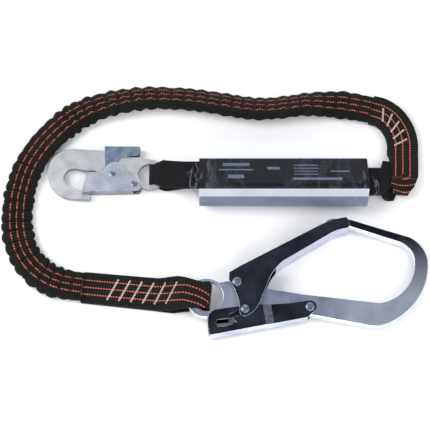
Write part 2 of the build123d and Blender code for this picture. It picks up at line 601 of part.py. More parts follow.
# Route of the sewn overlap at the absorber's end, from the leg to the eye
OVERLAP_ROUTE = [(139.5, 142.6), (149.6, 140.2), (159.5, 132.5), (166.8, 120.5), (170.2, 106.5), (169.3, 92.5)]
LEG_MID_Z = LEG_LIFT + LEG_THICK / 2


def heading_of(a, b):
    """Direction from one plan point to another, in degrees."""
    return degrees(atan2(b[1] - a[1], b[0] - a[0]))


def route_radii(points):
    """The largest arc that each corner of a route has room for."""
    radii = []
    for a, b, c in zip(points, points[1:], points[2:]):
        turn = radians(heading_of(b, c) - heading_of(a, b))
        turn = abs(atan2(sin(turn), cos(turn)))
        shorter = min(hypot(b[0] - a[0], b[1] - a[1]), hypot(c[0] - b[0], c[1] - b[1]))
        radii.append(0.45 * shorter / tan(turn / 2))
    return radii


def along(points, height, section):
    """A section carried along a level route of straight runs joined by tangent arcs."""
    route = Wire(FilletPolyline(*[(x, y, height) for x, y in points], radius=route_radii(points)).edges())
    ahead = route % 0
    start = Plane(origin=route @ 0, x_dir=Vector(0, 0, 1).cross(ahead), z_dir=ahead)
    return sweep(start * section, path=route), route.length


def flat_oval(width, thickness):
    """Section of a flattened tube."""
    return SlotOverall(width, thickness)


def elastic_leg():
    """The gathered tubular webbing, and the elastic band inside it."""
    sizes = {
        "outside": (LEG_WIDTH, LEG_THICK),
        "hollow": (LEG_WIDTH - 2 * LEG_WALL, LEG_THICK - 2 * LEG_WALL),
        "core": (CORE_WIDTH, CORE_THICK),
    }
    made = {}
    for name, (width, thickness) in sizes.items():
        section = flat_oval(width, thickness)
        made[name], length = along(LEG_ROUTE, LEG_MID_Z, section)
        print(name, "length", round(length, 1), "volume by section and length",
              round(made[name].volume / (section.area * length), 4))
    print("leg radii", [round(radius) for radius in route_radii(LEG_ROUTE)])
    return made["outside"] - made["hollow"], made["core"]


def stitch_walls(stations, half_height, lean):
    """Thin upright walls that cross a strap at a lean, one for each zigzag bar.

    A station is a plan point on the strap's middle and the strap's heading there.
    """
    walls = []
    for x, y, heading in stations:
        length = 2 * hypot(half_height, lean / 2)
        slant = heading + degrees(atan2(2 * half_height, lean))
        wall = Box(length, STITCH_WIDTH, BIG)
        walls.append(wall.moved(Location((x, y, 0), (0, 0, slant))))
    return walls


def thin_layer(cover, strap, walls):
    """Stitches that lie on a strap's upper face, cut from a slightly thicker cover of it."""
    stitches = [((cover & wall) - strap).solids().sort_by(Axis.Z)[-1] for wall in walls]
    return Compound(children=stitches)


def hook_end():
    """The leg's flat end, folded back through the scaffold hook's eye and sewn to itself, and its stitching."""
    under = SCAFFOLD_LOW - PLY_GAP - HALF_PLY
    over = SCAFFOLD_HIGH + PLY_GAP + HALF_PLY
    high_ply = SEWN_LOW_Z + PLY_STEP
    lower = [(-6, SEWN_LOW_Z), (76, SEWN_LOW_Z), (98, under), (HOOK_END_FOLD, under)]
    upper = [(HOOK_END_FOLD, over), (99, over), (74, high_ply), (-6, high_ply)]
    strap = ribbon(lower + upper, [20, 14, 3, 3, 8, 20], WEB_THICK, BIG)
    tip = HOOK_END_FOLD + 2 * WEB_THICK
    half = SEWN_WIDTH / 2
    strap = trimmed(strap, [
        (0, -half), (92, -half - 1), (108, -13.5), (tip, -12.5), (tip, 11.5), (108, 13.5), (92, half + 1), (0, half),
    ])
    cover = ribbon(upper, [8, 20], WEB_THICK + 2 * STITCH_PROUD, SEWN_WIDTH)
    bars = 6
    first = 23.8
    step = 11.6
    walls = stitch_walls([(first + step * bar, 0, 0) for bar in range(bars)], 9.5, 8.5)
    stitching = thin_layer(cover, strap, walls)
    start = LEG_ROUTE[-1]
    heading = heading_of(LEG_ROUTE[-2], start)
    return set_down(strap, start, heading), set_down(stitching, start, heading)


def absorber_end():
    """The leg's flat end by the absorber: sewn overlap, eye through the lanyard loop, and stitching."""
    low_ply, high_ply = LOOP_PLY_Z[1], LOOP_PLY_Z[1] + PLY_STEP
    flat = Rectangle(SEWN_WIDTH, WEB_THICK)
    lower_strip, length = along(OVERLAP_ROUTE, low_ply, flat)
    upper_strip, length = along(OVERLAP_ROUTE, high_ply, flat)
    lower = [(-6, low_ply), (ABSORBER_END_FOLD, low_ply)]
    upper = [(ABSORBER_END_FOLD, LOOP_PLY_Z[3]), (11, LOOP_PLY_Z[3]), (1, high_ply), (-6, high_ply)]
    eye = ribbon(lower + upper, [2.5, 2.5, 8, 8], WEB_THICK, BIG)
    half = SEWN_WIDTH / 2
    tip = ABSORBER_END_FOLD + 2 * WEB_THICK
    middle = (LOOP_PLY_Z[1] + LOOP_PLY_Z[3]) / 2
    top_side = trimmed(eye, [
        (0, -half), (20, -10.5), (40, -11), (tip, -9), (tip, 6), (36, 12), (25, half), (0, half),
    ], high_ply - HALF_PLY)
    low_side = trimmed(eye, [
        (0, -half), (8, -11), (40, -10.5), (tip, -9), (tip, 6), (28, 6.5), (5, 6.5), (0, half),
    ], 0, high_ply - HALF_PLY)
    eye = set_down(top_side + low_side, OVERLAP_ROUTE[-1], heading_of(OVERLAP_ROUTE[-2], OVERLAP_ROUTE[-1]))
    strap = lower_strip + upper_strip + eye
    stations = []
    for (ax, ay), (bx, by) in zip(OVERLAP_ROUTE[1:], OVERLAP_ROUTE[2:]):
        stations.append(((ax + bx) / 2, (ay + by) / 2, heading_of((ax, ay), (bx, by))))
    cover = Pos(0, 0, high_ply + HALF_PLY) * Box(BIG, BIG, 2 * STITCH_PROUD)
    return strap, thin_layer(cover, upper_strip, stitch_walls(stations, 6.5, -5))


def leg_parts():
    """Everything that lies free between the absorber and the scaffold hook."""
    webbing, core = elastic_leg()
    hook_strap, hook_stitching = hook_end()
    absorber_strap, absorber_stitching = absorber_end()
    return {
        "elastic_leg_webbing": webbing,
        "elastic_core": core,
        "hook_end_strap": hook_strap,
        "hook_end_stitching": hook_stitching,
        "absorber_end_strap": absorber_strap,
        "absorber_end_stitching": absorber_stitching,
    }


if __name__ == "__main__":
    parts = {}
    parts.update(scaffold_hook_parts())
    parts.update(snap_hook_parts())
    parts.update(pack_parts())
    parts.update(loop_parts())
    parts.update(leg_parts())
    for name, shape in parts.items():
        export_step(shape, f"parts/{name}.step")
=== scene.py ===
# %% [markdown]
# # A shock absorbing lanyard
# The lanyard joins a worker's harness to an anchor. A small snap hook takes the harness ring, a pack of
# tear webbing softens a fall, an elastic leg keeps the slack short, and a large hook clips over the anchor.
# The measured model is loaded first, and everything below is in its metres.

# %% Load the frame
import bpy
import bmesh
import random
from math import ceil, cos, hypot, pi, radians, sin
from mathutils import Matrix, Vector
from mathutils.bvhtree import BVHTree


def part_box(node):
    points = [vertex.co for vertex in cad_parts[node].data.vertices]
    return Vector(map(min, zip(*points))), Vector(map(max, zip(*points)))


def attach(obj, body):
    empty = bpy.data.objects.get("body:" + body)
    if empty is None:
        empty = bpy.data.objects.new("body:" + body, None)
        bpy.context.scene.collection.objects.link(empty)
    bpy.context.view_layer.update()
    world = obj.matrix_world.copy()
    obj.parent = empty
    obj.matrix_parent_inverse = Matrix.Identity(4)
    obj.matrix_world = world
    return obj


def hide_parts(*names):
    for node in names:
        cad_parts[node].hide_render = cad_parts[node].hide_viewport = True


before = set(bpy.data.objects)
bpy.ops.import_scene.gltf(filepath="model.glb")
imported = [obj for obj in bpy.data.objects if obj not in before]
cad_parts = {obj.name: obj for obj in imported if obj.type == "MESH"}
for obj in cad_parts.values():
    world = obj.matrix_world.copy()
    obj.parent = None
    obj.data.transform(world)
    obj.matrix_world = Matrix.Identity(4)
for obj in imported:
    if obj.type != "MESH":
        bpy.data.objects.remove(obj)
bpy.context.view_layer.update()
random.seed(7)

# %% [markdown]
# ## Shader maths as expressions
# A finish is built from many small sums. Wrapping a socket in a class lets those sums be written as Python,
# and one method makes every other kind of node.


# %% Expressions on sockets
class Wave:
    """A number that varies over a surface, as one output socket of a node tree."""

    def __init__(self, finish, socket):
        self.finish = finish
        self.socket = socket

    def _math(self, operation, a, b=0.0, clamp=False):
        return self.finish.node("ShaderNodeMath", {"operation": operation, "use_clamp": clamp}, {0: a, 1: b})

    def __add__(self, other):
        return self._math("ADD", self, other)

    __radd__ = __add__

    def __sub__(self, other):
        return self._math("SUBTRACT", self, other)

    def __rsub__(self, other):
        return self._math("SUBTRACT", other, self)

    def __mul__(self, other):
        return self._math("MULTIPLY", self, other)

    __rmul__ = __mul__

    def __truediv__(self, other):
        return self._math("DIVIDE", self, other)

    def sin(self):
        return self._math("SINE", self)

    def absolute(self):
        return self._math("ABSOLUTE", self)

    def at_least(self, other):
        return self._math("MAXIMUM", self, other)

    def below(self, other):
        return self._math("LESS_THAN", self, other)

    def clamped(self):
        return self._math("ADD", self, 0.0, clamp=True)


class Finish:
    """One material, with the few steps that every finish here shares."""

    def __init__(self, name, **fixed):
        self.material = bpy.data.materials.new(name)
        self.material.use_nodes = True
        self.tree = self.material.node_tree
        self.shader = self.tree.nodes["Principled BSDF"]
        for socket, value in fixed.items():
            self.shader.inputs[socket.replace("_", " ")].default_value = value

    def node(self, kind, settings=None, inputs=None, output=0):
        made = self.tree.nodes.new(kind)
        for name, value in (settings or {}).items():
            setattr(made, name, value)
        for name, value in (inputs or {}).items():
            self.feed(made.inputs[name], value)
        return Wave(self, made.outputs[output])

    def feed(self, socket, value):
        if isinstance(value, Wave):
            self.tree.links.new(value.socket, socket)
        else:
            socket.default_value = value

    def set(self, **inputs):
        for name, value in inputs.items():
            self.feed(self.shader.inputs[name.replace("_", " ")], value)

    def place(self, centre=(0, 0, 0), turn=0.0, roll=0.0):
        """Object coordinates about a centre, turned about Z, then rolled about X."""
        where = self.node("ShaderNodeTexCoord", output="Object")
        moved = self.node("ShaderNodeVectorMath", {"operation": "SUBTRACT"}, {0: where, 1: centre})
        turned = self.node(
            "ShaderNodeVectorRotate", {"rotation_type": "Z_AXIS"}, {"Vector": moved, "Angle": -turn})
        return self.node(
            "ShaderNodeVectorRotate", {"rotation_type": "X_AXIS"}, {"Vector": turned, "Angle": -roll})

    def split(self, vector):
        parts = self.node("ShaderNodeSeparateXYZ", None, {0: vector})
        outputs = parts.socket.node.outputs
        return Wave(self, outputs[0]), Wave(self, outputs[1]), Wave(self, outputs[2])

    def noise(self, vector, scale, detail=3.0, rough=0.55):
        return self.node(
            "ShaderNodeTexNoise", {"noise_dimensions": "3D"},
            {"Vector": vector, "Scale": scale, "Detail": detail, "Roughness": rough},
        )

    def stretch(self, vector, by):
        return self.node("ShaderNodeVectorMath", {"operation": "MULTIPLY"}, {0: vector, 1: by})

    def mix(self, factor, a, b):
        made = self.node("ShaderNodeMix", {"data_type": "RGBA"}, output=2)
        sockets = made.socket.node.inputs
        for index, value in ((0, factor), (6, a), (7, b)):
            self.feed(sockets[index], value if isinstance(value, Wave) or index == 0 else (*value, 1.0))
        return made

    def bump(self, height, distance, strength=1.0):
        return self.node(
            "ShaderNodeBump", None, {"Height": height, "Distance": distance, "Strength": strength})


# %% [markdown]
# ## Metals
# The hooks are zinc plated steel. Plating has a soft cloudy sheen and fine scratches in no one direction.
# Rims and walls carry painted light: a painted highlight on the large hook's pieces, a painted shade on the
# snap hook's. The gate plates are darker and much shinier than the frames.


# %% Metal finishes
def plated(name, dark, light, rough, cloud=90.0, scratch=0.00004, metallic=1.0):
    """Plated steel: a cloudy base between two colours, with fine random scratches."""
    steel = Finish(name, Metallic=metallic)
    where = steel.place()
    clouds = steel.noise(where, cloud, 4.0)
    grain = steel.noise(steel.stretch(where, (1.0, 6.0, 6.0)), 900.0, 2.0)
    tone = (clouds * 1.7 - 0.45).clamped()
    steel.set(
        Base_Color=steel.mix(tone, dark, light),
        Roughness=rough + (clouds - 0.5) * 0.16 + (grain - 0.5) * 0.10,
        Normal=steel.bump(grain + clouds * 2.0, scratch),
    )
    return steel.material




def forged_zinc():
    """The large frame: satin grey along its back; round the bend and the nose a painted dark reflection, a
    painted highlight band and a shinier finish.
    """
    steel = Finish("satin_zinc", Metallic=1.0)
    where = steel.place((-0.0276, -0.0605, 0.012), radians(8.6))
    x, y, z = steel.split(where)
    clouds = steel.noise(where, 70.0, 4.0)
    grain = steel.noise(steel.stretch(where, (1.0, 6.0, 6.0)), 900.0, 2.0)
    # painted dark reflection: the bend and the nose darken towards near black
    shade = ((y + 0.030) * 17.0 + (clouds - 0.5) * 0.5).clamped() * ((x - 0.115) * 30.0).clamped()
    # painted highlight: a bright band across the nose
    nose_highlight = ((x - 0.118 + (clouds - 0.5) * 0.01) * 60.0).clamped() * 0.35
    tone = (clouds * 1.7 - 0.45).clamped()
    satin = steel.mix(tone, (0.24, 0.27, 0.38), (0.44, 0.48, 0.60))
    bright = steel.mix(nose_highlight, satin, (0.72, 0.77, 0.84))
    steel.set(
        Base_Color=steel.mix(shade, bright, (0.020, 0.024, 0.030)),
        Roughness=0.34 - shade * 0.12 + (clouds - 0.5) * 0.14,
        Normal=steel.bump(grain + clouds * 2.0, 0.00004),
    )
    return steel.material


ZINC = forged_zinc()
# painted highlight: the large frame's rims and steep walls are painted near white
ZINC_HIGHLIGHT_RIM = plated("painted_highlight_rim", (0.70, 0.75, 0.82), (0.92, 0.95, 0.98), 0.20)
PALE_ZINC = plated("pale_zinc", (0.52, 0.53, 0.55), (0.72, 0.73, 0.75), 0.36)
GATE_SHEET = plated("gate_sheet", (0.58, 0.62, 0.74), (0.88, 0.91, 0.98), 0.24, 60.0)
# painted shade: the snap hook's side walls and rims are painted dark
SHADED_WALL = plated("painted_shade_wall", (0.16, 0.16, 0.18), (0.42, 0.43, 0.46), 0.30)
DARK_PLATE = plated("dark_plate", (0.012, 0.014, 0.020), (0.075, 0.085, 0.115), 0.16, 45.0)
# painted highlight: the large gate's and lever's walls and rims are painted bright
LIT_WALL_HIGHLIGHT = plated("painted_highlight_wall", (0.45, 0.48, 0.60), (0.88, 0.91, 0.98), 0.24, 60.0)
# painted highlight: the large lock lever's pressed step is painted mid grey against its dark plate
SLOPE_HIGHLIGHT = plated("painted_highlight_step", (0.10, 0.11, 0.14), (0.34, 0.37, 0.43), 0.2, 300.0)
BLUE_ZINC = plated("blue_zinc", (0.20, 0.25, 0.38), (0.45, 0.51, 0.68), 0.27, 120.0)
RIVET_STEEL = plated("rivet_steel", (0.12, 0.14, 0.19), (0.36, 0.41, 0.50), 0.30, 300.0)
SPRING_STEEL = plated("spring_steel", (0.22, 0.22, 0.24), (0.45, 0.45, 0.47), 0.35, 500.0)
print("metals", 10)

# %% [markdown]
# ## Webbing
# Polyamide webbing is woven: fine ribs run across it and the edges are a little thicker. The elastic leg and
# its sewn ends carry three orange tracer stripes, each a row of raised beads. The pattern follows each
# strap, so it reads a UV map that holds metres along and metres across.


# %% Webbing finishes
def webbing(name, ground, rib=0.0017, stripes=(), thread=(0.68, 0.17, 0.09), sheen=0.05,
            gathered=False, rib_sheen_contrast=0.25):
    """Woven strap: ribs across, warp along, and beaded tracer stripes at chosen distances from the middle."""
    cloth = Finish(name, Sheen_Weight=sheen, Sheen_Roughness=0.45, Specular_IOR_Level=0.12)
    strap = cloth.node("ShaderNodeUVMap", {"uv_map": "strap"})
    along, across, _ = cloth.split(strap)
    where = cloth.place()
    wobble = (cloth.noise(where, 160.0) - 0.5) * 0.0012
    ribs = ((along + wobble) * (2 * pi / rib)).sin()
    warp = (across * (2 * pi / 0.0011)).sin()
    weave = ribs * 0.7 + warp * ribs * 0.5
    dust = cloth.noise(where, 45.0, 5.0)
    # the weave's tone and dust; the paler rib crests are partly the weave and partly a painted sheen
    shade = (0.28 + weave * rib_sheen_contrast + (dust - 0.5) * 0.7).clamped()
    pale = tuple(min(1.0, c * 3.0 + 0.010) for c in ground)
    colour = cloth.mix(shade, ground, pale)
    height = weave
    crown = 1.0
    # painted shade: on the gathered leg the stripes fade into the black in the valleys between puckers and show
    # on their crowns
    if gathered:
        crown, _, _ = cloth.split(cloth.node("ShaderNodeUVMap", {"uv_map": "crown"}))
    beads = ((along + wobble) * (2 * pi / 0.0026)).sin()
    for middle in stripes:
        off = (across - middle + wobble * 0.4).absolute()
        bead_row = off.below(0.00052 + beads * 0.00022)
        colour = cloth.mix(bead_row * (0.62 + beads * 0.30) * crown, colour, thread)
        height = height + bead_row * (1.2 + beads)
    cloth.set(
        Base_Color=colour,
        Roughness=0.78 - weave * 0.08,
        Normal=cloth.bump(height, 0.00025),
    )
    return cloth.material


BLACK_WEB = webbing("black_webbing", (0.004, 0.004, 0.005))
LEG_WEB = webbing(
    "gathered_webbing", (0.0030, 0.0026, 0.0028), 0.0019, (-0.0068, 0.0, 0.0068),
    gathered=True, rib_sheen_contrast=0.45)
SEWN_WEB = webbing(
    "striped_webbing", (0.0040, 0.0034, 0.0036), 0.0021, (-0.0072, 0.0, 0.0072), rib_sheen_contrast=0.75)
ELASTIC = webbing("elastic_band", (0.35, 0.32, 0.28), 0.0012)

# %% [markdown]
# ## Stitch thread
# The bars that hold a fall are sewn in pale twisted thread. The twist shows as a fine slanting bump.


# %% Thread finish
def thread_finish():
    thread = Finish("bonded_thread", Sheen_Weight=0.3)
    where = thread.place()
    x, y, z = thread.split(where)
    twist = ((x + y + z) * 9000.0).sin()
    tone = thread.noise(where, 300.0)
    thread.set(
        Base_Color=thread.mix(tone, (0.62, 0.46, 0.42), (0.86, 0.76, 0.72)),
        Roughness=0.6 + twist * 0.05,
        Normal=thread.bump(twist, 0.00006),
    )
    return thread.material


THREAD = thread_finish()
print("thread", THREAD.name)

# %% [markdown]
# ## The absorber's cover
# The pack is rolled a little towards the viewer. Its upper face is a black printed label, then comes a white
# woven band with slanting ribs, and below that black webbing seen through the film, painted grey-blue as a
# painted sheen.
# The print here is plain blocks and rules in place of words. All three read coordinates turned into the pack's
# own frame.

# %% Cover finishes
PACK_CENTRE = (0.0473, 0.0565, 0.0215)
PACK_ROLL = radians(-20.0)
LABEL_BLOCKS = (
    (-0.047, -0.007, 0.0080, 0.0024), (-0.047, 0.002, 0.0170, 0.0008), (-0.047, 0.009, 0.0130, 0.0020),
    (-0.010, 0.004, 0.0060, 0.0018), (0.033, -0.010, 0.0240, 0.0016), (0.022, -0.004, 0.0120, 0.0006),
    (0.022, 0.000, 0.0115, 0.0006), (0.022, 0.004, 0.0125, 0.0006), (0.022, 0.008, 0.0120, 0.0006),
    (0.055, 0.000, 0.0090, 0.0008),
)


def label_finish():
    """Black film with a faint blue-grey print of plain blocks and rules."""
    label = Finish("label_cover", Specular_IOR_Level=0.12)
    where = label.place(PACK_CENTRE, 0.0, PACK_ROLL)
    x, y, z = label.split(where)
    print_mask = 0.0
    for cx, cy, half_x, half_y in LABEL_BLOCKS:
        block = (x - cx).absolute().below(half_x) * (y - cy).absolute().below(half_y)
        print_mask = block if print_mask == 0.0 else print_mask.at_least(block)
    worn = label.noise(where, 700.0, 2.0)
    dust = label.noise(where, 60.0, 4.0)
    ground = label.mix(dust, (0.004, 0.004, 0.005), (0.014, 0.015, 0.018))
    label.set(
        Base_Color=label.mix(print_mask * (0.20 + worn * 0.50), ground, (0.26, 0.33, 0.46)),
        Roughness=0.34 + dust * 0.25,
        Normal=label.bump(label.noise(where, 55.0, 3.0), 0.0010),
    )
    return label.material


def band_finish():
    """White woven band with slanting ribs."""
    band = Finish("white_band", Sheen_Weight=0.2)
    where = band.place(PACK_CENTRE, 0.0, PACK_ROLL)
    x, y, z = band.split(where)
    ribs = ((x + z * 1.2) * (2 * pi / 0.0024)).sin()
    fine = ((x - z) * (2 * pi / 0.0008)).sin()
    dust = band.noise(where, 80.0, 4.0)
    shade = (0.5 + ribs * 0.30 + (dust - 0.5) * 0.6).clamped()
    band.set(
        Base_Color=band.mix(shade, (0.55, 0.56, 0.59), (0.98, 0.98, 0.97)),
        Roughness=0.7 - ribs * 0.05,
        Normal=band.bump(ribs + fine * 0.3, 0.0003),
    )
    return band.material


def film_sheen_finish():
    """Black webbing under the film, painted grey-blue as a painted sheen that follows the creases, with a fine
    weave under a clear coat.
    """
    coat = Finish("grey_cover", Coat_Roughness=0.2)
    where = coat.place(PACK_CENTRE, 0.0, PACK_ROLL)
    x, y, z = coat.split(where)
    weave = (x * (2 * pi / 0.0013)).sin() * ((z + y) * (2 * pi / 0.0013)).sin()
    creases_and_sheen = coat.noise(coat.stretch(where, (0.4, 1.0, 1.0)), 60.0, 4.0)
    coat.set(
        # painted sheen: the black webbing is painted grey-blue, lighter along the creases
        Base_Color=coat.mix(creases_and_sheen, (0.10, 0.11, 0.17), (0.30, 0.32, 0.42)),
        Roughness=0.30 + creases_and_sheen * 0.25,
        Normal=coat.bump(creases_and_sheen * 3.0 + weave * 0.4, 0.0008),
        Coat_Weight=0.25 + creases_and_sheen * 0.3,
    )
    return coat.material


LABEL = label_finish()
BAND = band_finish()
FILM_SHEEN_COVER = film_sheen_finish()

# %% [markdown]
# ## Clear film
# The pack is sealed in clear shrink film. Film is nearly invisible face on and bright where it creases, so a
# glossy shader, painted pale on the crease ridges as a painted highlight, is mixed with a transparent one, and
# the creases raise its share.


# %% Film finish
def film_finish(name, strength, crease_size):
    film = Finish(name, IOR=1.45)
    where = film.place(PACK_CENTRE, 0.0, PACK_ROLL)
    folds = film.noise(film.stretch(where, (2.2, 0.8, 0.8)), crease_size, 5.0, 0.6)
    # painted highlight: the crease ridges are painted pale
    ridge_highlight = 1.0 - ((folds - 0.56).absolute() * 22.0).clamped()
    film.set(
        Base_Color=film.mix(ridge_highlight, (0.015, 0.016, 0.020), (0.75, 0.79, 0.86)),
        Roughness=0.10 + folds * 0.12, Normal=film.bump(folds, 0.0012),
    )
    clear = film.node("ShaderNodeBsdfTransparent", None, {"Color": (0.97, 0.98, 1.0, 1.0)})
    x, y, z = film.split(where)
    # the painted highlights show faintly over the middle of the pack and fully at its ends
    ends = ((x.absolute() - 0.066) * 45.0).clamped() * 0.94 + 0.06
    shown = (0.012 + ridge_highlight * ends * strength).clamped()
    both = film.node("ShaderNodeMixShader", None, {0: shown, 1: clear, 2: Wave(film, film.shader.outputs[0])})
    film.tree.links.new(both.socket, film.tree.nodes["Material Output"].inputs["Surface"])
    return film.material


FILM = film_finish("clear_film", 0.09, 24.0)
# the gathered film at the ends carries stronger, finer painted highlights
FILM_GATHER = film_finish("gathered_film", 0.22, 90.0)
print("film", FILM.name, FILM_GATHER.name)

# %% [markdown]
# ## Machined metal from the CAD
# Plates, gates and levers already have their exact outlines in the CAD. What they lack is the soft rim that
# every real plate has. A copy of each node is merged and given a small bevel, and it stands for the node.
# Bevels and steep walls take a rim colour of painted light: a painted highlight on the large hook's pieces, a
# painted shade on the snap hook's.


# %% Bevelled copies
def keep_mesh(name, mesh, material, rim=None):
    """A new object at the origin from a mesh, with its finish."""
    piece = bpy.data.objects.new(name, mesh)
    bpy.context.scene.collection.objects.link(piece)
    mesh.materials.clear()
    mesh.materials.append(material)
    if rim:
        mesh.materials.append(rim)
    return piece


def merged_copy(node):
    """The node's mesh with its loose triangles joined into one skin."""
    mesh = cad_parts[node].data.copy()
    work = bmesh.new()
    work.from_mesh(mesh)
    bmesh.ops.remove_doubles(work, verts=work.verts, dist=1e-6)
    flat = [
        edge for edge in work.edges
        if len(edge.link_faces) == 2 and edge.calc_face_angle(0) < radians(0.5)
    ]
    bmesh.ops.dissolve_edges(work, edges=flat, use_verts=False)
    for face in work.faces:
        face.smooth = True
        face.material_index = 0
    work.to_mesh(mesh)
    work.free()
    return mesh


def applied(piece):
    """Bakes a piece's modifiers into its mesh."""
    depsgraph = bpy.context.evaluated_depsgraph_get()
    mesh = bpy.data.meshes.new_from_object(piece.evaluated_get(depsgraph))
    piece.modifiers.clear()
    piece.data = mesh
    return piece


def machined(node, body, material, rim, bevel, slope_highlight=None):
    """A bevelled stand-in for a metal node."""
    piece = keep_mesh(node + "_finished", merged_copy(node), material, rim)
    soft = piece.modifiers.new("rim", "BEVEL")
    soft.width = bevel
    soft.segments = 2
    soft.limit_method = "ANGLE"
    soft.angle_limit = radians(40)
    soft.material = 1
    soft.harden_normals = False
    soft.use_clamp_overlap = True
    smooth = piece.modifiers.new("weighted", "WEIGHTED_NORMAL")
    smooth.keep_sharp = True
    applied(piece)
    piece.data.materials.append(slope_highlight or rim)
    # steep walls take the rim colour, painted light; gentle slopes take the slope colour, a painted highlight
    # on the large lock lever's pressed step
    for polygon in piece.data.polygons:
        if abs(polygon.normal.z) < 0.95:
            polygon.material_index = 1
        elif abs(polygon.normal.z) < 0.995:
            polygon.material_index = len(piece.data.materials) - 1
    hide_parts(node)
    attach(piece, body)
    return piece


METAL_PIECES = (
    ("scaffold_hook_frame", "scaffold_hook", ZINC, ZINC_HIGHLIGHT_RIM, 0.0011, "zinc_plated_steel"),
    ("scaffold_gate", "scaffold_gate", DARK_PLATE, LIT_WALL_HIGHLIGHT, 0.0005, "dark_plated_steel"),
    ("scaffold_lock_lever", "scaffold_lever", DARK_PLATE, LIT_WALL_HIGHLIGHT, 0.0005, "dark_plated_steel"),
    ("snap_hook_frame", "snap_hook", PALE_ZINC, SHADED_WALL, 0.0006, "zinc_plated_steel"),
    ("snap_gate", "snap_gate", GATE_SHEET, SHADED_WALL, 0.0003, "zinc_plated_steel"),
    ("snap_lock_lever", "snap_lever", BLUE_ZINC, SHADED_WALL, 0.0003, "blue_zinc_sheet"),
)
for node, body, material, rim, bevel, slot in METAL_PIECES:
    slope_highlight = SLOPE_HIGHLIGHT if node == "scaffold_lock_lever" else None
    made = machined(node, body, material, rim, bevel, slope_highlight)
    print(made.name, len(made.data.polygons), "faces")

# %% [markdown]
# ## Rivets and springs
# A rivet's head is a low dome, turned from one profile. Each rivet's dome is spun about its own axis and
# stands just over the CAD rivet's flat head. The springs are already true coils, so they only need a finish.

# %% Rivet domes
RIVETS = (
    ("scaffold_gate_rivet", "scaffold_hook"), ("scaffold_lever_rivet", "scaffold_hook"),
    ("scaffold_tail_pin", "scaffold_gate"), ("snap_gate_rivet", "snap_hook"), ("snap_lever_rivet", "snap_gate"),
)


def dome(node, body):
    """Turned rivet: a shank with a domed head at each end, closed at both poles."""
    low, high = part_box(node)
    centre = ((low[0] + high[0]) / 2, (low[1] + high[1]) / 2)
    radius = (high[0] - low[0]) / 2
    height = high[2] - low[2]
    head = radius * 0.2
    shank = radius * 0.55
    half = []
    for step in range(9):
        turn = pi / 2 * step / 8
        half.append((radius * sin(turn), height / 2 - head + head * cos(turn)))
    half.append((shank, height / 2 - head))
    outline = half + [(r, -z) for r, z in reversed(half)]
    sides = 48
    work = bmesh.new()
    rings = []
    for r, z in outline[1:-1]:
        ring = []
        for side in range(sides):
            a = 2 * pi * side / sides
            place = (centre[0] + r * cos(a), centre[1] + r * sin(a), (low[2] + high[2]) / 2 + z)
            ring.append(work.verts.new(place))
        rings.append(ring)
    for lower, upper in zip(rings, rings[1:]):
        for side in range(sides):
            other = (side + 1) % sides
            work.faces.new((lower[side], lower[other], upper[other], upper[side]))
    for ring, z in ((rings[0], high[2]), (rings[-1], low[2])):
        pole = work.verts.new((centre[0], centre[1], z))
        for side in range(sides):
            work.faces.new((ring[side], ring[(side + 1) % sides], pole))
    bmesh.ops.recalc_face_normals(work, faces=work.faces)
    for face in work.faces:
        face.smooth = True
    mesh = bpy.data.meshes.new(node + "_domed")
    work.to_mesh(mesh)
    work.free()
    piece = keep_mesh(node + "_domed", mesh, RIVET_STEEL)
    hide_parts(node)
    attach(piece, body)
    return piece


for node, body in RIVETS:
    print(dome(node, body).name)


def refinish(material, *nodes):
    """Gives CAD nodes that keep their shape a better finish."""
    for node in nodes:
        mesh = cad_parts[node].data
        if not mesh.materials:
            mesh.materials.append(material)
        for index in range(len(mesh.materials)):
            mesh.materials[index] = material


refinish(SPRING_STEEL, "scaffold_gate_spring", "scaffold_lever_spring", "snap_gate_spring", "snap_lever_spring")
refinish(LABEL, "absorber_label_cover")
refinish(BAND, "absorber_edge_binding")
refinish(FILM_SHEEN_COVER, "absorber_lower_cover")
refinish(BAND, "absorber_tear_webbing")

# %% [markdown]
# ## The leg's route
# The leg lies in one loose sweep from the absorber to the large hook. A smooth NURBS curve through its
# control points is read back as a line, and every piece of the leg follows that line.

# %% Routes
LEG_ROUTE = [
    (0.1395, 0.1426), (0.122, 0.1468), (0.098, 0.1494), (0.074, 0.1484), (0.05, 0.1446), (0.024, 0.1422),
    (-0.002, 0.1462), (-0.03, 0.1516), (-0.058, 0.1546), (-0.086, 0.1556), (-0.112, 0.1526), (-0.137, 0.1472),
    (-0.16, 0.1372), (-0.181, 0.12), (-0.197, 0.101), (-0.2095, 0.078), (-0.216, 0.052), (-0.2176, 0.028),
    (-0.216, 0.008), (-0.2105, -0.011), (-0.2, -0.027), (-0.186, -0.0385), (-0.169, -0.0456), (-0.15, -0.0475),
]
OVERLAP_ROUTE = [
    (0.1395, 0.1426), (0.1496, 0.1402), (0.1595, 0.1325), (0.1668, 0.1205), (0.1702, 0.1065), (0.1693, 0.0925),
    (0.1667, 0.0495),
]
HOOK_END_ROUTE = [(-0.15, -0.0475), (-0.09, -0.0535), (-0.029, -0.0596)]
LEG_MID_Z = 0.0058


def smooth_line(points, height):
    """Points along a NURBS curve that has the route's points as its control points."""
    curve = bpy.data.curves.new("route", "CURVE")
    curve.dimensions = "3D"
    curve.resolution_u = 24
    spline = curve.splines.new("NURBS")
    spline.points.add(len(points) - 1)
    for point, (x, y) in zip(spline.points, points):
        point.co = (x, y, height, 1.0)
    spline.order_u = 3
    spline.use_endpoint_u = True
    holder = bpy.data.objects.new("route", curve)
    bpy.context.scene.collection.objects.link(holder)
    mesh = bpy.data.meshes.new_from_object(holder.evaluated_get(bpy.context.evaluated_depsgraph_get()))
    line = [vertex.co.copy() for vertex in mesh.vertices]
    bpy.data.objects.remove(holder)
    bpy.data.meshes.remove(mesh)
    return line


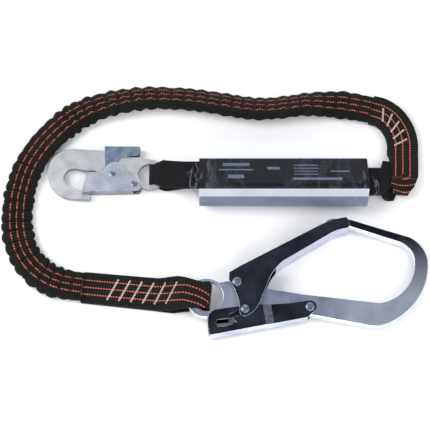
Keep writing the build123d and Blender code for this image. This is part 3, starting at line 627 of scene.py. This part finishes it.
def distances(line):
    """Distance along a line at each of its points."""
    total = [0.0]
    for a, b in zip(line, line[1:]):
        total.append(total[-1] + (b - a).length)
    return total


def point_at(line, total, distance):
    """Place and direction at a distance along a line."""
    index = 0
    while index < len(total) - 2 and total[index + 1] < distance:
        index += 1
    a, b = line[index], line[index + 1]
    share = (distance - total[index]) / max(1e-9, total[index + 1] - total[index])
    return a.lerp(b, share), (b - a).normalized()


LEG_LINE = smooth_line(LEG_ROUTE, LEG_MID_Z)
LEG_TOTAL = distances(LEG_LINE)
LEG_LENGTH = LEG_TOTAL[-1]
print("leg length", round(LEG_LENGTH, 4), "points", len(LEG_LINE))

# %% [markdown]
# ## The gathered leg
# An elastic band inside a longer webbing tube draws it up into small puckers. Each pucker swells the tube,
# then pinches it, and the tube tips over on its side along the upper run. The skin is made ring by ring,
# because its shape follows the route and a rule, and it keeps metres along and across in its UV map.

# %% The gathered tube
HALF_WIDTH = 0.0150
HALF_THICK = 0.0058
BAND_HALF_WIDTH = 0.0085
BAND_HALF_THICK = 0.0014
RING_STEP = 0.0011
RING_SIDES = 56


def between(x, a, b):
    """Smooth rise from 0 at a to 1 at b."""
    t = min(1.0, max(0.0, (x - a) / (b - a)))
    return t * t * (3 - 2 * t)


def pucker_steps(length):
    """Distances of the puckers, closer together where the leg lies in its bend."""
    steps = [0.0]
    while steps[-1] < length:
        share = steps[-1] / length
        pitch = 0.0128 - 0.0022 * between(share, 0.45, 0.6)
        steps.append(steps[-1] + pitch * random.uniform(0.86, 1.14))
    return steps


PUCKERS = pucker_steps(LEG_LENGTH)


def pucker_phase(distance):
    """Turns of the gathering at a distance, one for each pucker."""
    for index in range(len(PUCKERS) - 1):
        if PUCKERS[index + 1] >= distance:
            return index + (distance - PUCKERS[index]) / (PUCKERS[index + 1] - PUCKERS[index])
    return float(len(PUCKERS))


PUCKER_SIZE = [random.uniform(0.65, 1.2) for _ in range(len(PUCKERS) + 2)]
PUCKER_LEAN = [random.uniform(-0.9, 0.9) for _ in range(len(PUCKERS) + 2)]


def leg_frame(s):
    """Place, sideways direction and tilt of the leg at a distance along it."""
    place, ahead = point_at(LEG_LINE, LEG_TOTAL, s)
    side = Vector((0, 0, 1)).cross(ahead).normalized()
    share = s / LEG_LENGTH
    tilt = radians(22) * between(share, 0.05, 0.14) * (1 - between(share, 0.42, 0.60))
    return place, side, tilt


HOOK_LOW, HOOK_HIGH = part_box("snap_hook_frame")
HOOK_CORNER = Vector((HOOK_LOW[0], HOOK_HIGH[1]))
BESIDE_HOOK = min(zip(LEG_TOTAL, LEG_LINE), key=lambda pair: (pair[1].to_2d() - HOOK_CORNER).length)[0]
HELD_IN = 0.25
HELD_REACH = (0.012, 0.034)
print("the leg passes the snap hook", round(BESIDE_HOOK, 3), "m along")


def gathered_section(s):
    """The tube's section at a distance: sideways, up and across-the-strap measures, before it is tilted."""
    ends = min(between(s, 0.0, 0.022), between(LEG_LENGTH - s, 0.0, 0.022))
    # where it lies against the snap hook, its gathers are held in so that the hook can swing
    ends *= HELD_IN + (1 - HELD_IN) * between(abs(s - BESIDE_HOOK), *HELD_REACH)
    deep = ends * (0.62 + 0.38 * between(s / LEG_LENGTH, 0.36, 0.5))
    section = []
    for k in range(RING_SIDES):
        a = 2 * pi * k / RING_SIDES
        ca, sa = cos(a), sin(a)
        lean = PUCKER_LEAN[int(pucker_phase(s))]
        phase = pucker_phase(min(LEG_LENGTH, max(0.0, s + 0.0022 * ca * lean)))
        size = PUCKER_SIZE[int(phase)]
        swell = abs(sin(pi * phase)) ** 0.8
        wide = HALF_WIDTH * (0.96 + (0.17 * swell * size - 0.04) * deep)
        thick = HALF_THICK * (0.80 + (0.50 * swell * size - 0.16) * deep)
        u = wide * ca * (1.0 - 0.04 * abs(sa))
        v = thick * (1 if sa >= 0 else -1) * abs(sa) ** 0.72
        v += 0.0007 * deep * sin(4 * pi * phase + 5 * ca) * abs(sa)
        # the last value is painted shade for the stripes: low in the valleys between puckers, full on their
        # crowns
        section.append((u, v, wide * ca, min(1.0, 0.12 + 1.0 * between(swell, 0.25, 0.9))))
    return section


def band_section(s):
    """The elastic band's section: a plain flat strip."""
    return [
        (BAND_HALF_WIDTH * cos(a), BAND_HALF_THICK * sin(a), BAND_HALF_WIDTH * cos(a), 1.0)
        for a in (2 * pi * k / 24 for k in range(24))
    ]


def lofted_leg(name, section_at, material, step, floor_gap):
    """A closed skin through sections along the leg, each tilted and lifted clear of the floor."""
    count = ceil(LEG_LENGTH / step)
    work = bmesh.new()
    uv = work.loops.layers.uv.new("strap")
    # a second UV map carries the stripes' painted shade
    crown_lit_uv = work.loops.layers.uv.new("crown")
    rings = []
    marks = []
    crown_lit_rows = []
    for number in range(count + 1):
        s = LEG_LENGTH * number / count
        place, side, tilt = leg_frame(s)
        section = section_at(s)
        lowest = -hypot(HALF_WIDTH * 1.08 * sin(tilt), HALF_THICK * cos(tilt))
        lift = max(0.0, -lowest + floor_gap - LEG_MID_Z)
        ring = []
        for u, v, _, _ in section:
            place_v = place + side * (u * cos(tilt) - v * sin(tilt))
            raised = max(0.0004 - place.z, u * sin(tilt) + v * cos(tilt) + lift)
            ring.append(work.verts.new(place_v + Vector((0, 0, raised))))
        rings.append(ring)
        marks.append((s, [across for _, _, across, _ in section]))
        crown_lit_rows.append([crown for _, _, _, crown in section])
    sides = len(rings[0])
    for number in range(count):
        s0, m0 = marks[number]
        s1, m1 = marks[number + 1]
        for k in range(sides):
            n = (k + 1) % sides
            here, beyond = rings[number], rings[number + 1]
            face = work.faces.new((here[k], beyond[k], beyond[n], here[n]))
            face.smooth = True
            for loop, value in zip(face.loops, ((s0, m0[k]), (s1, m1[k]), (s1, m1[n]), (s0, m0[n]))):
                loop[uv].uv = value
            c0, c1 = crown_lit_rows[number], crown_lit_rows[number + 1]
            for loop, crown in zip(face.loops, (c0[k], c1[k], c1[n], c0[n])):
                loop[crown_lit_uv].uv = (crown, 0.0)
    for ring, (s, across_ring) in ((rings[0], marks[0]), (rings[-1], marks[-1])):
        cap = work.faces.new(ring)
        for loop, across in zip(cap.loops, across_ring):
            loop[uv].uv = (s, across)
    bmesh.ops.recalc_face_normals(work, faces=work.faces)
    mesh = bpy.data.meshes.new(name)
    work.to_mesh(mesh)
    work.free()
    return keep_mesh(name, mesh, material)


leg = lofted_leg("gathered_leg", gathered_section, LEG_WEB, RING_STEP, 0.0006)
band = lofted_leg("elastic_band", band_section, ELASTIC, 0.004, 0.0006)
print("gathered leg", len(leg.data.polygons), "faces,", len(PUCKERS), "puckers")

# %% [markdown]
# ## Flat straps
# The sewn ends and the two black loops are flat webbing whose folds the CAD already lays out. Each is copied,
# cut into small faces so that it can carry a weave, and rounded at its edges, and its UV map measures
# along and across its own route.


# %% Straps from the CAD
def strap_piece(node, line, material, warp=None, rounding=0.0007):
    """A softened copy of a strap node with its UV map measured from a route."""
    mesh = merged_copy(node)
    piece = keep_mesh(node + "_woven", mesh, material)
    soft = piece.modifiers.new("selvedge", "BEVEL")
    soft.width = rounding
    soft.segments = 2
    soft.limit_method = "ANGLE"
    soft.angle_limit = radians(50)
    applied(piece)
    work = bmesh.new()
    work.from_mesh(piece.data)
    bmesh.ops.triangulate(work, faces=work.faces)
    for _ in range(6):
        long_edges = [edge for edge in work.edges if edge.calc_length() > 0.006]
        if not long_edges:
            break
        bmesh.ops.subdivide_edges(work, edges=long_edges, cuts=1, use_grid_fill=False)
        bmesh.ops.triangulate(work, faces=[face for face in work.faces if len(face.verts) > 3])
    total = distances(line)
    uv = work.loops.layers.uv.get("strap") or work.loops.layers.uv.new("strap")
    measured = {}
    for vertex in work.verts:
        best = None
        for index, (a, b) in enumerate(zip(line, line[1:])):
            run = (b - a).to_2d()
            reach = (vertex.co - a).to_2d()
            share = max(0.0, min(1.0, reach.dot(run) / max(1e-12, run.length_squared)))
            if index == 0:
                share = min(1.0, reach.dot(run) / run.length_squared)
            if index == len(line) - 2:
                share = max(0.0, reach.dot(run) / run.length_squared)
            off = reach - run * share
            if best is None or off.length < best[0]:
                sign = 1 if run.x * off.y - run.y * off.x >= 0 else -1
                best = (off.length, total[index] + share * run.length, sign * off.length)
        measured[vertex] = best
    if warp:
        for vertex in work.verts:
            _, along, across = measured[vertex]
            measured[vertex] = (0.0, *warp(vertex, along, across))
    for face in work.faces:
        face.smooth = True
        for loop in face.loops:
            _, along, across = measured[loop.vert]
            loop[uv].uv = (along, across)
    bmesh.ops.recalc_face_normals(work, faces=work.faces)
    work.to_mesh(piece.data)
    work.free()
    smooth = piece.modifiers.new("weighted", "WEIGHTED_NORMAL")
    smooth.keep_sharp = False
    applied(piece)
    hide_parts(node)
    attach(piece, "root")
    print(piece.name, len(piece.data.polygons), "faces")
    return piece


OVERLAP_LINE = smooth_line(OVERLAP_ROUTE, 0.007)[::4]
HOOK_END_LINE = smooth_line(HOOK_END_ROUTE, 0.004)[::12]
HARNESS_LINE = [Vector((-0.087, 0.0702, 0.01)), Vector((-0.049, 0.0664, 0.016))]
LANYARD_LINE = [Vector((0.143, 0.0618, 0.01)), Vector((0.178, 0.0760, 0.006))]
HOOK_AHEAD = (HOOK_END_LINE[-1] - HOOK_END_LINE[0]).normalized()
HOOK_SIDE = Vector((-HOOK_AHEAD.y, HOOK_AHEAD.x, 0))
FOLD_REACH = 0.0035  # more than this meets the lock lever when the gate is open


def ease_fold(vertex, along, across):
    """The fold sits loose in the eye: it reaches a little further in and widens where it leaves the ring."""
    spread = 0.05 * between(along, 0.070, 0.092) * (1 - between(along, 0.104, 0.114))
    vertex.co += HOOK_AHEAD * FOLD_REACH * between(along, 0.098, 0.121)
    vertex.co += HOOK_SIDE * across * spread
    return along, across + 14.0 * max(0.0, along - 0.098) ** 2


hook_strap = strap_piece("hook_end_strap", HOOK_END_LINE, SEWN_WEB, ease_fold)


def turn_fold(vertex, along, across):
    """The strap's last stretch turns across itself round the black loop, and its stripes turn with it."""
    x, y = vertex.co.x, vertex.co.y
    if y > 0.0655:
        return along, across
    inward = between(0.0655 - y, 0.004, 0.019)
    middle = 0.1695
    vertex.co.x = middle + (x - middle) * (1 - 0.42 * inward ** 2)
    return x, (y - 0.0570) - 16.0 * (x - middle) ** 2


absorber_strap = strap_piece("absorber_end_strap", OVERLAP_LINE, SEWN_WEB, turn_fold)
strap_piece("harness_loop", HARNESS_LINE, BLACK_WEB)
strap_piece("lanyard_loop", LANYARD_LINE, BLACK_WEB)

# %% [markdown]
# ## Bar stitching
# Each sewn end is held by slanting bars of close zigzag stitches. One Geometry Nodes tree sets short threads
# along any line, turned to and fro, and a line for each bar is all that it needs.


# %% The zigzag tree
def zigzag_tree():
    tree = bpy.data.node_groups.new("zigzag_bar", "GeometryNodeTree")
    face = tree.interface
    face.new_socket("Line", in_out="INPUT", socket_type="NodeSocketGeometry")
    sizes = (("Spacing", 0.0010), ("Stitch Length", 0.0019), ("Thread Radius", 0.00030), ("Slant", 0.55))
    for name, value in sizes:
        socket = face.new_socket(name, in_out="INPUT", socket_type="NodeSocketFloat")
        socket.default_value = value
    seed = face.new_socket("Seed", in_out="INPUT", socket_type="NodeSocketInt")
    seed.default_value = 3
    finish = face.new_socket("Thread", in_out="INPUT", socket_type="NodeSocketMaterial")
    face.new_socket("Stitches", in_out="OUTPUT", socket_type="NodeSocketGeometry")
    nodes, links = tree.nodes, tree.links
    given = nodes.new("NodeGroupInput")
    curve = nodes.new("GeometryNodeMeshToCurve")
    links.new(given.outputs["Line"], curve.inputs["Mesh"])
    even = nodes.new("GeometryNodeResampleCurve")
    even.mode = "LENGTH"
    links.new(curve.outputs["Curve"], even.inputs["Curve"])
    links.new(given.outputs["Spacing"], even.inputs["Length"])
    one = nodes.new("GeometryNodeMeshCylinder")
    one.inputs["Vertices"].default_value = 8
    one.inputs["Side Segments"].default_value = 3
    links.new(given.outputs["Thread Radius"], one.inputs["Radius"])
    links.new(given.outputs["Stitch Length"], one.inputs["Depth"])
    lay = nodes.new("GeometryNodeTransform")
    lay.inputs["Rotation"].default_value = (pi / 2, 0, 0)
    links.new(one.outputs["Mesh"], lay.inputs["Geometry"])
    tangent = nodes.new("GeometryNodeInputTangent")
    aim = nodes.new("FunctionNodeAlignRotationToVector")
    aim.axis = "X"
    links.new(tangent.outputs[0], aim.inputs["Vector"])
    index = nodes.new("GeometryNodeInputIndex")
    odd = nodes.new("ShaderNodeMath")
    odd.operation = "MODULO"
    odd.inputs[1].default_value = 2.0
    links.new(index.outputs[0], odd.inputs[0])
    centred = nodes.new("ShaderNodeMath")
    centred.operation = "SUBTRACT"
    centred.inputs[1].default_value = 0.5
    links.new(odd.outputs[0], centred.inputs[0])
    lean = nodes.new("ShaderNodeMath")
    lean.operation = "MULTIPLY"
    links.new(centred.outputs[0], lean.inputs[0])
    links.new(given.outputs["Slant"], lean.inputs[1])
    loose = nodes.new("FunctionNodeRandomValue")
    loose.data_type = "FLOAT"
    loose.inputs[2].default_value = -0.12
    loose.inputs[3].default_value = 0.12
    links.new(given.outputs["Seed"], loose.inputs["Seed"])
    total = nodes.new("ShaderNodeMath")
    total.operation = "ADD"
    links.new(lean.outputs[0], total.inputs[0])
    links.new(loose.outputs[1], total.inputs[1])
    turn = nodes.new("ShaderNodeCombineXYZ")
    links.new(total.outputs[0], turn.inputs["Z"])
    local = nodes.new("FunctionNodeEulerToRotation")
    links.new(turn.outputs[0], local.inputs[0])
    whole = nodes.new("FunctionNodeRotateRotation")
    whole.rotation_space = "LOCAL"
    links.new(aim.outputs[0], whole.inputs[0])
    links.new(local.outputs[0], whole.inputs[1])
    put = nodes.new("GeometryNodeInstanceOnPoints")
    links.new(even.outputs["Curve"], put.inputs["Points"])
    links.new(lay.outputs["Geometry"], put.inputs["Instance"])
    links.new(whole.outputs[0], put.inputs["Rotation"])
    real = nodes.new("GeometryNodeRealizeInstances")
    links.new(put.outputs["Instances"], real.inputs["Geometry"])
    paint = nodes.new("GeometryNodeSetMaterial")
    links.new(real.outputs["Geometry"], paint.inputs["Geometry"])
    links.new(given.outputs["Thread"], paint.inputs["Material"])
    out = nodes.new("NodeGroupOutput")
    links.new(paint.outputs["Geometry"], out.inputs["Stitches"])
    return tree


ZIGZAG = zigzag_tree()


def sewn_bars(name, bars, node, **sizes):
    """Zigzag bars along the given lines, as a plain mesh that stands for the CAD stitching."""
    mesh = bpy.data.meshes.new(name)
    points = [point for bar in bars for point in bar]
    edges = [(2 * index, 2 * index + 1) for index in range(len(bars))]
    mesh.from_pydata(points, edges, [])
    piece = bpy.data.objects.new(name, mesh)
    bpy.context.scene.collection.objects.link(piece)
    grow = piece.modifiers.new("bars", "NODES")
    grow.node_group = ZIGZAG
    ids = {item.name: item.identifier for item in ZIGZAG.interface.items_tree if item.in_out == "INPUT"}
    grow[ids["Thread"]] = THREAD
    for label, value in sizes.items():
        grow[ids[label.replace("_", " ")]] = value
    applied(piece)
    for polygon in piece.data.polygons:
        polygon.use_smooth = True
    if node:
        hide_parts(node)
    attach(piece, "root")
    print(name, len(bars), "bars,", len(piece.data.polygons), "faces")
    return piece


THREAD_STANDS = 0.00012


def surface_of(piece):
    """What a bar is laid on: the piece's mesh, ready to be asked for its height."""
    return BVHTree.FromObject(piece, bpy.context.evaluated_depsgraph_get())


def height_at(surface, place, otherwise=None):
    """The surface's upper side below a place, or the given height where the surface doesn't reach."""
    hit = surface.ray_cast(Vector((place.x, place.y, 0.08)), Vector((0, 0, -1)))[0]
    return hit.z if hit else otherwise


def crossing(surface, line, total, distance, left, right, lean):
    """A bar that lies across a strap at a distance, from its left to its right, leaning along it."""
    place, ahead = point_at(line, total, distance)
    side = Vector((-ahead.y, ahead.x, 0))
    middle = height_at(surface, place)
    ends = (place + side * left - ahead * lean / 2, place - side * right + ahead * lean / 2)
    return tuple((end.x, end.y, height_at(surface, end, middle) + THREAD_STANDS) for end in ends)


HOOK_TOTAL = distances(HOOK_END_LINE)
hook_surface = surface_of(hook_strap)
HOOK_FIRST_BAR, HOOK_BAR_STEP, HOOK_BARS = 0.0300, 0.0116, 6
HOOK_BAR_HALF, HOOK_BAR_LEAN = 0.0105, -0.0085
hook_bars = [
    crossing(hook_surface, HOOK_END_LINE, HOOK_TOTAL, HOOK_FIRST_BAR + HOOK_BAR_STEP * bar,
             HOOK_BAR_HALF, HOOK_BAR_HALF, HOOK_BAR_LEAN)
    for bar in range(HOOK_BARS)
]
hook_stitches = sewn_bars("hook_end_bars", hook_bars, "hook_end_stitching")
OVERLAP_TOTAL = distances(OVERLAP_LINE)
absorber_surface = surface_of(absorber_strap)
ABSORBER_FIRST_BAR, ABSORBER_BAR_STEP, ABSORBER_BARS = 0.0135, 0.0095, 5
ABSORBER_BAR_LEFT, ABSORBER_BAR_RIGHT, ABSORBER_BAR_LEAN = 0.0045, 0.0085, 0.006
absorber_bars = [
    crossing(absorber_surface, OVERLAP_LINE, OVERLAP_TOTAL, ABSORBER_FIRST_BAR + ABSORBER_BAR_STEP * bar,
             ABSORBER_BAR_LEFT, ABSORBER_BAR_RIGHT, ABSORBER_BAR_LEAN)
    for bar in range(ABSORBER_BARS)
]
absorber_stitches = sewn_bars("absorber_end_bars", absorber_bars, "absorber_end_stitching")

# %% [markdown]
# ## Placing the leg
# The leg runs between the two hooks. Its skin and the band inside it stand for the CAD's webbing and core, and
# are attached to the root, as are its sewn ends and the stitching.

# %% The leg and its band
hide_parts("elastic_core")
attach(band, "root")
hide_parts("elastic_leg_webbing")
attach(leg, "root")

# %% [markdown]
# ## Shrink film round the pack
# The film is one sleeve: it hugs the pack, then draws in over both ends and is crimped round the loops in
# sharp pleats. It is lofted from rings that blend the pack's section into the neck's.

# %% The film sleeve
PACK_HALF = (0.0210, 0.0170)
PACK_LEFT, PACK_RIGHT = -0.0367, 0.1313
NECK_LEFT = (0.0664, 0.0160)
NECK_RIGHT = (0.0618, 0.0100)
NECK_HALF = (0.0150, 0.0040)
CORNER = 0.0060


def rounded_ring(half_y, half_z, corner, sides):
    """Points round a rounded rectangle, evenly by angle."""
    ring = []
    for k in range(sides):
        a = 2 * pi * (k + 0.5) / sides
        c, s = cos(a), sin(a)
        reach = min(half_y / max(1e-6, abs(c)), half_z / max(1e-6, abs(s)))
        y, z = reach * c, reach * s
        over_y, over_z = abs(y) - (half_y - corner), abs(z) - (half_z - corner)
        if over_y > 0 and over_z > 0:
            length = hypot(over_y, over_z)
            y = (half_y - corner + over_y * corner / length) * (1 if y > 0 else -1)
            z = (half_z - corner + over_z * corner / length) * (1 if z > 0 else -1)
        ring.append((y, z))
    return ring


def film_sleeve():
    sides = 144
    block = [
        (y * cos(PACK_ROLL) - z * sin(PACK_ROLL), y * sin(PACK_ROLL) + z * cos(PACK_ROLL))
        for y, z in rounded_ring(*PACK_HALF, CORNER, sides)
    ]
    neck = [
        (y * cos(PACK_ROLL) - z * sin(PACK_ROLL), y * sin(PACK_ROLL) + z * cos(PACK_ROLL))
        for y, z in rounded_ring(*NECK_HALF, 0.002, sides)
    ]
    pleat = [random.uniform(-1, 1) for _ in range(sides)]
    stations = []
    for end, (ny, nz), sign in ((PACK_LEFT, NECK_LEFT, -1), (PACK_RIGHT, NECK_RIGHT, 1)):
        rows = []
        for step in range(15):
            share = step / 14
            rows.append((end + sign * 0.0115 * share, between(share, -0.25, 0.72), (ny, nz), share))
        stations.append(rows)
    middle = []
    for step in range(1, 56):
        middle.append((PACK_LEFT + (PACK_RIGHT - PACK_LEFT) * step / 56, 0.0, NECK_LEFT, 0.0))
    rows = list(reversed(stations[0])) + middle + stations[1]
    work = bmesh.new()
    rings = []
    for x, draw, (ny, nz), share in rows:
        edge = max(0.0, 1 - min(abs(x - PACK_LEFT), abs(PACK_RIGHT - x)) / 0.02) * (share == 0.0)
        ring = []
        for k in range(sides):
            by, bz = block[k]
            qy, qz = neck[k]
            fold = 0.5 * pleat[k] + 0.5 * sin(k * 2 * pi * 17 / sides + x * 900)
            puff = 1 + 0.10 * share * fold + 0.010 * edge * sin(k * 0.9 + x * 300)
            y = PACK_CENTRE[1] + by * (1 - draw) * puff + (ny - PACK_CENTRE[1]) * draw + qy * draw * puff
            z = PACK_CENTRE[2] + bz * (1 - draw) * puff + (nz - PACK_CENTRE[2]) * draw + qz * draw * puff
            ring.append(work.verts.new((x, y, max(0.0003, z))))
        rings.append(ring)
    for lower, upper in zip(rings, rings[1:]):
        for k in range(sides):
            n = (k + 1) % sides
            face = work.faces.new((lower[k], upper[k], upper[n], lower[n]))
            face.smooth = True
            x = face.calc_center_median().x
            face.material_index = 0 if PACK_LEFT - 0.0005 < x < PACK_RIGHT + 0.0005 else 1
    bmesh.ops.recalc_face_normals(work, faces=work.faces)
    mesh = bpy.data.meshes.new("shrink_film")
    work.to_mesh(mesh)
    work.free()
    piece = keep_mesh("shrink_film", mesh, FILM, FILM_GATHER)
    wall = piece.modifiers.new("film", "SOLIDIFY")
    wall.thickness = 0.00015
    wall.offset = -1
    applied(piece)
    return piece


film = film_sleeve()
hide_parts("absorber_clear_sleeve", "harness_end_collar", "lanyard_end_collar")
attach(film, "root")
print("film", len(film.data.polygons), "faces")

# %% [markdown]
# ## Floor, light and camera
# A pale seamless floor and large soft lights keep the shadows short. The camera looks down from the front.


# %% Studio
def studio():
    work = bmesh.new()
    half = 3.0
    corners = ((-half, -half, 0), (half, -half, 0), (half, half, 0), (-half, half, 0))
    work.faces.new([work.verts.new(corner) for corner in corners])
    mesh = bpy.data.meshes.new("floor")
    work.to_mesh(mesh)
    work.free()
    pale = Finish("pale_floor", Roughness=0.9, Specular_IOR_Level=0.1)
    where = pale.place()
    pale.set(Base_Color=pale.mix(pale.noise(where, 3.0), (0.965, 0.965, 0.965), (0.985, 0.985, 0.985)))
    keep_mesh("floor", mesh, pale.material)
    for name, place, size, power, aim in (
        ("key", (-1.0, 0.15, 1.2), 0.9, 13.0, (0, 0.02, 0)),
        ("fill", (0.9, -0.4, 1.1), 0.8, 5.0, (0, 0, 0)),
        ("back", (0.2, 1.5, 0.7), 0.9, 6.0, (0, 0, 0)),
        ("front", (0.0, -1.2, 0.6), 0.8, 12.0, (0, 0, 0)),
    ):
        light = bpy.data.lights.new(name, "AREA")
        light.size = size
        light.energy = power
        lamp = bpy.data.objects.new(name, light)
        lamp.location = place
        lamp.rotation_euler = (Vector(aim) - Vector(place)).to_track_quat("-Z", "Y").to_euler()
        bpy.context.scene.collection.objects.link(lamp)
    world = bpy.data.worlds.new("studio")
    world.use_nodes = True
    world.node_tree.nodes["Background"].inputs["Color"].default_value = (0.93, 0.95, 1.0, 1.0)
    world.node_tree.nodes["Background"].inputs["Strength"].default_value = 0.56
    bpy.context.scene.world = world
    bpy.context.scene.view_settings.view_transform = "Standard"


studio()
lens = bpy.data.cameras.new("camera")
lens.lens = 117.2
lens.sensor_width = 36.0
camera = bpy.data.objects.new("camera", lens)
camera.location = (-0.0204, -0.4718, 1.3070)
camera.rotation_euler = (radians(21.0), 0, 0)
bpy.context.scene.collection.objects.link(camera)
bpy.context.scene.camera = camera
